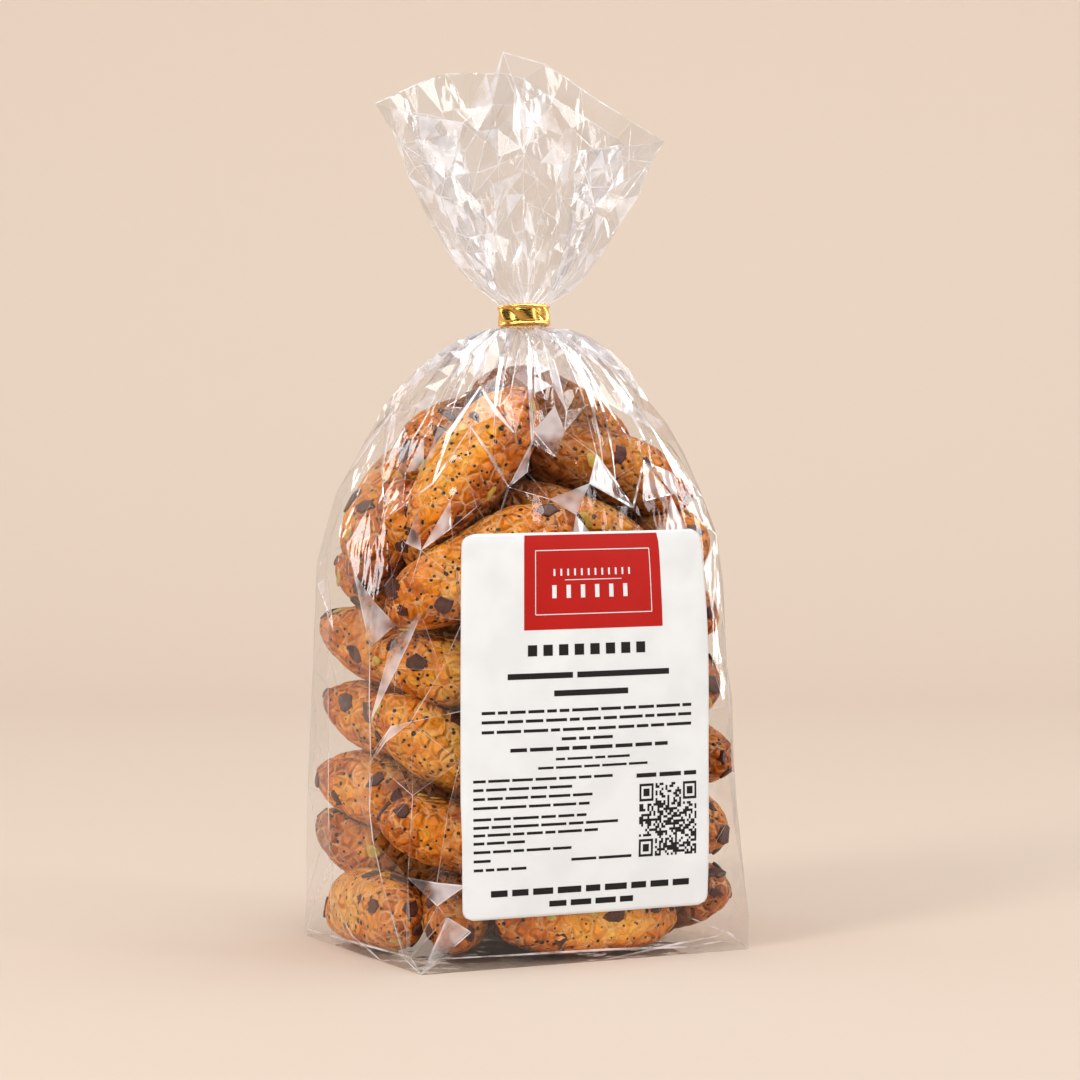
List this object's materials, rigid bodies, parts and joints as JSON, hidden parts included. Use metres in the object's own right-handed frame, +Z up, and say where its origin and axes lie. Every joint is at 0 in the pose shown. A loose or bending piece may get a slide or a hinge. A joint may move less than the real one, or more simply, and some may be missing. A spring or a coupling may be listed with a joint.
{
  "type": "bag of biscotti",
  "caption": "Clear block-bottom film bag filled with biscotti, gathered at the neck under a gold band, with a flared ruffle and a paper label.",
  "frame": {"origin": "centre of the bag's flat base", "axes": "+Z up through the tied neck, the labelled face towards -Y, its long base edges along X"},
  "size_m": [0.126, 0.1019, 0.2977],
  "materials": {
    "film": "clear glossy film with creases and folds",
    "biscuit": "golden baked crust with pores and fine cracks",
    "chocolate": "dark chocolate chunks, satin",
    "pistachio": "split nut kernels, dull",
    "gold_band": "polished gold foil band",
    "label_paper": "coated white label paper",
    "label_red": "red printed field",
    "label_ink": "black printed bars"
  },
  "bodies": {
    "root": {"bag": "film", "ruffle": "film", "tie_band": "gold_band", "label": "label_paper"}
  },
  "joints": []
}
